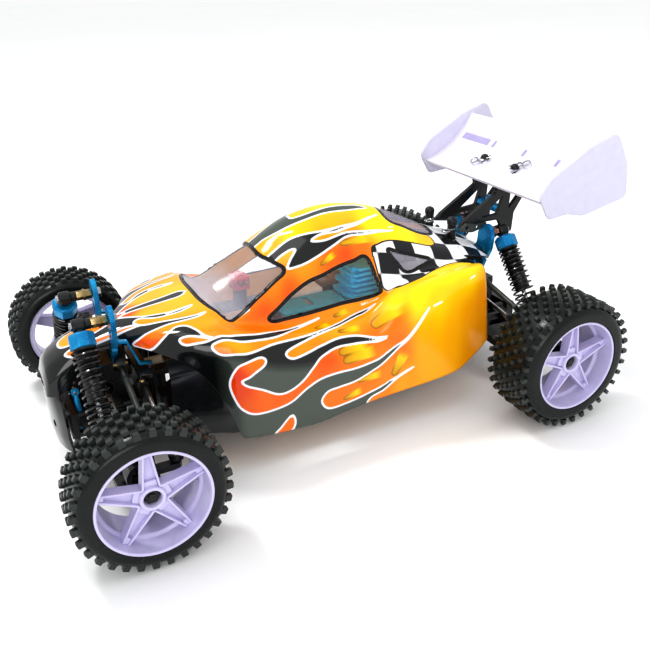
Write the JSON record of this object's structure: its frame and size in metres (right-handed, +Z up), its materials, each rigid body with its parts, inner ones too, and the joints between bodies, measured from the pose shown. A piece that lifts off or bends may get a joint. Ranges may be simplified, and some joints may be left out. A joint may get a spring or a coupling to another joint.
{
  "type": "radio control off-road buggy",
  "caption": "Four-wheel-drive electric radio control buggy with sprung double-arm suspension, linked steering, coupled wheels, painted body shell and rear wing.",
  "frame": {"origin": "ground level under the middle of the buggy's bounding box", "axes": "+X forward, +Y to the buggy's left, +Z up"},
  "size_m": [0.3926, 0.2508, 0.174],
  "materials": {
    "tyre_rubber": "matte moulded rubber",
    "rim_nylon": "satin white nylon with a cool tint",
    "wing_nylon": "satin white nylon",
    "shell_polycarbonate": "painted gloss polycarbonate with flames",
    "blue_alloy": "blue anodised",
    "battery_wrap": "shrink wrap",
    "motor_steel": "brushed can",
    "spring_steel": "dark oiled steel",
    "gear_plastic": "satin acetal",
    "black_nylon": "moulded black nylon"
  },
  "bodies": {
    "chassis": {"chassis_plate": "blue_alloy", "upper_deck": "blue_alloy", "front_gearbox": "black_nylon", "rear_gearbox": "black_nylon", "front_shock_tower": "blue_alloy", "rear_shock_tower": "blue_alloy", "front_bumper": "black_nylon", "battery_pack": "battery_wrap", "rear_body_mount": "black_nylon", "rear_wing": "wing_nylon", "wing_stay": "black_nylon", "body_shell": "shell_polycarbonate", "drive_motor": "motor_steel", "motor_mount": "blue_alloy", "steering_servo": "black_nylon"},
    "motor_pinion": {"motor_pinion": "spring_steel"},
    "centre_shaft": {"centre_shaft": "gear_plastic"},
    "servo_saver": {"servo_saver": "black_nylon"},
    "idler_crank": {"idler_crank": "black_nylon"},
    "steering_plate": {"steering_plate": "blue_alloy"},
    "front_lower_arm_left": {"front_lower_arm_left": "black_nylon"},
    "front_upper_arm_left": {"front_upper_arm_left": "black_nylon"},
    "front_hub_carrier_left": {"front_hub_carrier_left": "black_nylon"},
    "front_shock_body_left": {"front_shock_body_left": "black_nylon", "front_spring_left": "spring_steel"},
    "front_shock_shaft_left": {"front_shock_shaft_left": "black_nylon"},
    "front_drive_shaft_left": {"front_drive_shaft_left": "spring_steel"},
    "front_wheel_left": {"front_rim_left": "rim_nylon", "front_tyre_left": "tyre_rubber"},
    "steering_knuckle_left": {"steering_knuckle_left": "black_nylon"},
    "tie_rod_left": {"tie_rod_left": "spring_steel"},
    "front_lower_arm_right": {"front_lower_arm_right": "black_nylon"},
    "front_upper_arm_right": {"front_upper_arm_right": "black_nylon"},
    "front_hub_carrier_right": {"front_hub_carrier_right": "black_nylon"},
    "front_shock_body_right": {"front_shock_body_right": "black_nylon", "front_spring_right": "spring_steel"},
    "front_shock_shaft_right": {"front_shock_shaft_right": "black_nylon"},
    "front_drive_shaft_right": {"front_drive_shaft_right": "spring_steel"},
    "front_wheel_right": {"front_rim_right": "rim_nylon", "front_tyre_right": "tyre_rubber"},
    "steering_knuckle_right": {"steering_knuckle_right": "black_nylon"},
    "tie_rod_right": {"tie_rod_right": "spring_steel"},
    "rear_lower_arm_left": {"rear_lower_arm_left": "black_nylon"},
    "rear_upper_link_left": {"rear_upper_link_left": "black_nylon"},
    "rear_hub_left": {"rear_hub_left": "black_nylon"},
    "rear_shock_body_left": {"rear_shock_body_left": "black_nylon", "rear_spring_left": "spring_steel"},
    "rear_shock_shaft_left": {"rear_shock_shaft_left": "black_nylon"},
    "rear_drive_shaft_left": {"rear_drive_shaft_left": "spring_steel"},
    "rear_wheel_left": {"rear_rim_left": "rim_nylon", "rear_tyre_left": "tyre_rubber"},
    "rear_lower_arm_right": {"rear_lower_arm_right": "black_nylon"},
    "rear_upper_link_right": {"rear_upper_link_right": "black_nylon"},
    "rear_hub_right": {"rear_hub_right": "black_nylon"},
    "rear_shock_body_right": {"rear_shock_body_right": "black_nylon", "rear_spring_right": "spring_steel"},
    "rear_shock_shaft_right": {"rear_shock_shaft_right": "black_nylon"},
    "rear_drive_shaft_right": {"rear_drive_shaft_right": "spring_steel"},
    "rear_wheel_right": {"rear_rim_right": "rim_nylon", "rear_tyre_right": "tyre_rubber"}
  },
  "joints": [
    {"name": "front_suspension_left", "type": "hinge", "parent": "chassis", "child": "front_lower_arm_left", "pos_m": [0.15425, 0.02, 0.04], "axis": [1, 0, 0], "range_deg": [0, 18], "stiffness_Nm_per_rad": 1.2, "springref_deg": -20.05},
    {"name": "front_hub_level_left", "type": "hinge", "parent": "front_lower_arm_left", "child": "front_hub_carrier_left", "pos_m": [0.15425, 0.084, 0.028], "axis": [1, 0, 0], "range_deg": [-18.5, 0.5]},
    {"name": "front_upper_pivot_left", "type": "hinge", "parent": "chassis", "child": "front_upper_arm_left", "pos_m": [0.14385, 0.02, 0.068], "axis": [1, 0, 0], "range_deg": [-0.5, 18.5]},
    {"name": "front_shock_swing_left", "type": "hinge", "parent": "chassis", "child": "front_shock_body_left", "pos_m": [0.16375, 0.022, 0.099], "axis": [1, 0, 0], "range_deg": [-0.5, 6.78]},
    {"name": "front_shock_travel_left", "type": "slide", "parent": "front_shock_body_left", "child": "front_shock_shaft_left", "axis": [0, -0.5978, 0.8016], "range_m": [0, 0.01287], "deforming": ["front_spring_left"]},
    {"name": "front_drive_tilt_left", "type": "hinge", "parent": "chassis", "child": "front_drive_shaft_left", "pos_m": [0.15425, 0.019, 0.055], "axis": [1, 0, 0], "range_deg": [-0.5, 15.9]},
    {"name": "steering_left", "type": "hinge", "parent": "front_hub_carrier_left", "child": "steering_knuckle_left", "pos_m": [0.15425, 0.094, 0.042], "axis": [0, 0, 1], "range_deg": [-25, 25]},
    {"name": "tie_rod_tilt_left", "type": "hinge", "parent": "steering_plate", "child": "tie_rod_left", "pos_m": [0.13425, 0.03, 0.058], "axis": [1, 0, 0], "range_deg": [-0.5, 18.5]},
    {"name": "front_wheel_spin_left", "type": "hinge", "parent": "steering_knuckle_left", "child": "front_wheel_left", "pos_m": [0.15425, 0.094, 0.042], "axis": [0, 1, 0], "continuous": true},
    {"name": "front_suspension_right", "type": "hinge", "parent": "chassis", "child": "front_lower_arm_right", "pos_m": [0.15425, -0.02, 0.04], "axis": [-1, 0, 0], "range_deg": [0, 18], "stiffness_Nm_per_rad": 1.2, "springref_deg": -20.05},
    {"name": "front_hub_level_right", "type": "hinge", "parent": "front_lower_arm_right", "child": "front_hub_carrier_right", "pos_m": [0.15425, -0.084, 0.028], "axis": [-1, 0, 0], "range_deg": [-18.5, 0.5]},
    {"name": "front_upper_pivot_right", "type": "hinge", "parent": "chassis", "child": "front_upper_arm_right", "pos_m": [0.14385, -0.02, 0.068], "axis": [-1, 0, 0], "range_deg": [-0.5, 18.5]},
    {"name": "front_shock_swing_right", "type": "hinge", "parent": "chassis", "child": "front_shock_body_right", "pos_m": [0.16375, -0.022, 0.099], "axis": [-1, 0, 0], "range_deg": [-0.5, 6.78]},
    {"name": "front_shock_travel_right", "type": "slide", "parent": "front_shock_body_right", "child": "front_shock_shaft_right", "axis": [0, 0.5978, 0.8016], "range_m": [0, 0.01287], "deforming": ["front_spring_right"]},
    {"name": "front_drive_tilt_right", "type": "hinge", "parent": "chassis", "child": "front_drive_shaft_right", "pos_m": [0.15425, -0.019, 0.055], "axis": [-1, 0, 0], "range_deg": [-0.5, 15.9]},
    {"name": "steering_right", "type": "hinge", "parent": "front_hub_carrier_right", "child": "steering_knuckle_right", "pos_m": [0.15425, -0.094, 0.042], "axis": [0, 0, 1], "range_deg": [-25.5, 25.5]},
    {"name": "tie_rod_tilt_right", "type": "hinge", "parent": "steering_plate", "child": "tie_rod_right", "pos_m": [0.13425, -0.03, 0.058], "axis": [-1, 0, 0], "range_deg": [-0.5, 18.5]},
    {"name": "front_wheel_spin_right", "type": "hinge", "parent": "steering_knuckle_right", "child": "front_wheel_right", "pos_m": [0.15425, -0.094, 0.042], "axis": [0, 1, 0], "continuous": true},
    {"name": "rear_suspension_left", "type": "hinge", "parent": "chassis", "child": "rear_lower_arm_left", "pos_m": [-0.12075, 0.02, 0.042], "axis": [1, 0, 0], "range_deg": [0, 18], "stiffness_Nm_per_rad": 1.2, "springref_deg": -20.05},
    {"name": "rear_hub_level_left", "type": "hinge", "parent": "rear_lower_arm_left", "child": "rear_hub_left", "pos_m": [-0.12075, 0.084, 0.03], "axis": [1, 0, 0], "range_deg": [-18.5, 0.5]},
    {"name": "rear_upper_pivot_left", "type": "hinge", "parent": "chassis", "child": "rear_upper_link_left", "pos_m": [-0.11325, 0.02, 0.075], "axis": [1, 0, 0], "range_deg": [-0.5, 18.5]},
    {"name": "rear_shock_swing_left", "type": "hinge", "parent": "chassis", "child": "rear_shock_body_left", "pos_m": [-0.13425, 0.02, 0.103], "axis": [1, 0, 0], "range_deg": [-0.5, 6.98]},
    {"name": "rear_shock_travel_left", "type": "slide", "parent": "rear_shock_body_left", "child": "rear_shock_shaft_left", "axis": [0, -0.6184, 0.7859], "range_m": [0, 0.01319], "deforming": ["rear_spring_left"]},
    {"name": "rear_drive_tilt_left", "type": "hinge", "parent": "chassis", "child": "rear_drive_shaft_left", "pos_m": [-0.12075, 0.019, 0.055], "axis": [1, 0, 0], "range_deg": [-0.5, 16.32]},
    {"name": "rear_wheel_spin_left", "type": "hinge", "parent": "rear_hub_left", "child": "rear_wheel_left", "pos_m": [-0.12075, 0.092, 0.044], "axis": [0, 1, 0], "continuous": true},
    {"name": "rear_suspension_right", "type": "hinge", "parent": "chassis", "child": "rear_lower_arm_right", "pos_m": [-0.12075, -0.02, 0.042], "axis": [-1, 0, 0], "range_deg": [0, 18], "stiffness_Nm_per_rad": 1.2, "springref_deg": -20.05},
    {"name": "rear_hub_level_right", "type": "hinge", "parent": "rear_lower_arm_right", "child": "rear_hub_right", "pos_m": [-0.12075, -0.084, 0.03], "axis": [-1, 0, 0], "range_deg": [-18.5, 0.5]},
    {"name": "rear_upper_pivot_right", "type": "hinge", "parent": "chassis", "child": "rear_upper_link_right", "pos_m": [-0.11325, -0.02, 0.075], "axis": [-1, 0, 0], "range_deg": [-0.5, 18.5]},
    {"name": "rear_shock_swing_right", "type": "hinge", "parent": "chassis", "child": "rear_shock_body_right", "pos_m": [-0.13425, -0.02, 0.103], "axis": [-1, 0, 0], "range_deg": [-0.5, 6.98]},
    {"name": "rear_shock_travel_right", "type": "slide", "parent": "rear_shock_body_right", "child": "rear_shock_shaft_right", "axis": [0, 0.6184, 0.7859], "range_m": [0, 0.01319], "deforming": ["rear_spring_right"]},
    {"name": "rear_drive_tilt_right", "type": "hinge", "parent": "chassis", "child": "rear_drive_shaft_right", "pos_m": [-0.12075, -0.019, 0.055], "axis": [-1, 0, 0], "range_deg": [-0.5, 16.32]},
    {"name": "rear_wheel_spin_right", "type": "hinge", "parent": "rear_hub_right", "child": "rear_wheel_right", "pos_m": [-0.12075, -0.092, 0.044], "axis": [0, 1, 0], "continuous": true},
    {"name": "centre_shaft_spin", "type": "hinge", "parent": "chassis", "child": "centre_shaft", "pos_m": [-0.04525, 0, 0.055], "axis": [1, 0, 0], "continuous": true},
    {"name": "motor_spin", "type": "hinge", "parent": "chassis", "child": "motor_pinion", "pos_m": [-0.04525, 0.021, 0.0424], "axis": [1, 0, 0], "continuous": true},
    {"name": "servo_saver_turn", "type": "hinge", "parent": "chassis", "child": "servo_saver", "pos_m": [0.12275, 0.02, 0.0244], "axis": [0, 0, 1], "range_deg": [-25.5, 25.5]},
    {"name": "idler_turn", "type": "hinge", "parent": "chassis", "child": "idler_crank", "pos_m": [0.12275, -0.02, 0.0244], "axis": [0, 0, 1], "range_deg": [-25.5, 25.5]},
    {"name": "steering_plate_level", "type": "hinge", "parent": "servo_saver", "child": "steering_plate", "pos_m": [0.10275, 0.02, 0.062], "axis": [0, 0, 1], "range_deg": [-25.5, 25.5]}
  ],
  "couplings": [
    {"joint": "front_hub_level_left", "follows": "front_suspension_left", "ratio": -1},
    {"joint": "front_upper_pivot_left", "follows": "front_suspension_left", "ratio": 1},
    {"joint": "front_shock_swing_left", "follows": "front_suspension_left", "ratio": 0.34867},
    {"joint": "front_shock_travel_left", "follows": "front_suspension_left", "m_per_rad": 0.039388},
    {"joint": "front_drive_tilt_left", "follows": "front_suspension_left", "ratio": 0.85551},
    {"joint": "tie_rod_tilt_left", "follows": "front_suspension_left", "ratio": 1},
    {"joint": "front_hub_level_right", "follows": "front_suspension_right", "ratio": -1},
    {"joint": "front_upper_pivot_right", "follows": "front_suspension_right", "ratio": 1},
    {"joint": "front_shock_swing_right", "follows": "front_suspension_right", "ratio": 0.34867},
    {"joint": "front_shock_travel_right", "follows": "front_suspension_right", "m_per_rad": 0.039388},
    {"joint": "front_drive_tilt_right", "follows": "front_suspension_right", "ratio": 0.85551},
    {"joint": "tie_rod_tilt_right", "follows": "front_suspension_right", "ratio": 1},
    {"joint": "rear_hub_level_left", "follows": "rear_suspension_left", "ratio": -1},
    {"joint": "rear_upper_pivot_left", "follows": "rear_suspension_left", "ratio": 1},
    {"joint": "rear_shock_swing_left", "follows": "rear_suspension_left", "ratio": 0.35995},
    {"joint": "rear_shock_travel_left", "follows": "rear_suspension_left", "m_per_rad": 0.040409},
    {"joint": "rear_drive_tilt_left", "follows": "rear_suspension_left", "ratio": 0.87903},
    {"joint": "rear_hub_level_right", "follows": "rear_suspension_right", "ratio": -1},
    {"joint": "rear_upper_pivot_right", "follows": "rear_suspension_right", "ratio": 1},
    {"joint": "rear_shock_swing_right", "follows": "rear_suspension_right", "ratio": 0.35995},
    {"joint": "rear_shock_travel_right", "follows": "rear_suspension_right", "m_per_rad": 0.040409},
    {"joint": "rear_drive_tilt_right", "follows": "rear_suspension_right", "ratio": 0.87903},
    {"joint": "rear_wheel_spin_right", "follows": "rear_wheel_spin_left", "ratio": 1},
    {"joint": "front_wheel_spin_left", "follows": "rear_wheel_spin_left", "ratio": 1},
    {"joint": "front_wheel_spin_right", "follows": "rear_wheel_spin_left", "ratio": 1},
    {"joint": "centre_shaft_spin", "follows": "rear_wheel_spin_left", "ratio": 2.6},
    {"joint": "motor_spin", "follows": "rear_wheel_spin_left", "ratio": -9.5},
    {"joint": "steering_right", "follows": "steering_left", "ratio": 1},
    {"joint": "servo_saver_turn", "follows": "steering_left", "ratio": 1},
    {"joint": "idler_turn", "follows": "steering_left", "ratio": 1},
    {"joint": "steering_plate_level", "follows": "steering_left", "ratio": -1}
  ]
}
